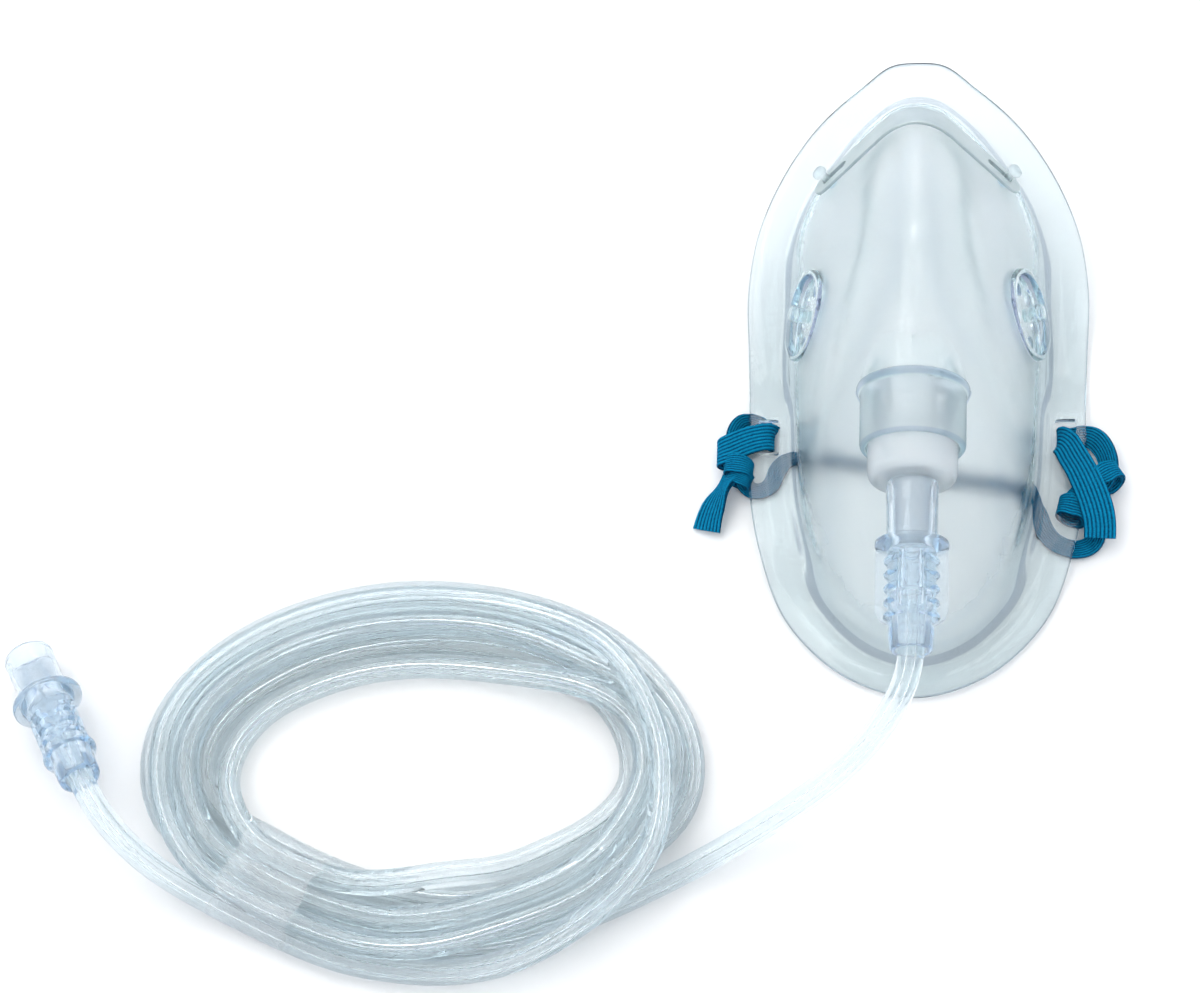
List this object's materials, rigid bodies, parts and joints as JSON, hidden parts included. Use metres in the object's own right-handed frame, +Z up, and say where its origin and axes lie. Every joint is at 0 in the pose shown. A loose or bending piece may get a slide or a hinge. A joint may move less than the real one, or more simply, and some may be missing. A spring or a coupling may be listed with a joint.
{
  "type": "oxygen face mask",
  "caption": "Clear oxygen face mask with a nose clip, side vents, a swivel port and an elastic strap, joined by push-on connectors to a coiled supply tube.",
  "frame": {"origin": "on the plane the mask lies on, under the middle of the mask's own bounding box (tube, connectors and strap not counted)", "axes": "+Z up through the dome, +Y towards the nose end, -Y towards the chin end, X across the mask, whose plane of symmetry is X = 0"},
  "size_m": [0.2396, 0.2063, 0.0517],
  "materials": {
    "clear_pvc": "clear soft PVC, glossy",
    "clip_metal": "satin rolled strip",
    "frosted_plastic": "milky translucent moulding",
    "connector_pvc": "clear moulding with a blue cast",
    "tube_pvc": "clear flexible tube",
    "clear_tape": "clear film, slightly wrinkled",
    "elastic": "ribbed woven elastic"
  },
  "bodies": {
    "mask": {"mask_shell": "clear_pvc", "nose_clip": "clip_metal", "head_strap": "elastic", "tube_lead_mask": "tube_pvc", "tube_lead_supply": "tube_pvc", "tube_coil": "tube_pvc", "coil_tape": "clear_tape", "supply_connector": "connector_pvc"},
    "swivel": {"swivel_adapter": "frosted_plastic", "mask_connector": "connector_pvc"}
  },
  "joints": [
    {"name": "port_swivel", "type": "hinge", "parent": "mask", "child": "swivel", "pos_m": [0, -0.03175, 0.039], "axis": [0, -0.9986, -0.0523], "continuous": true}
  ]
}
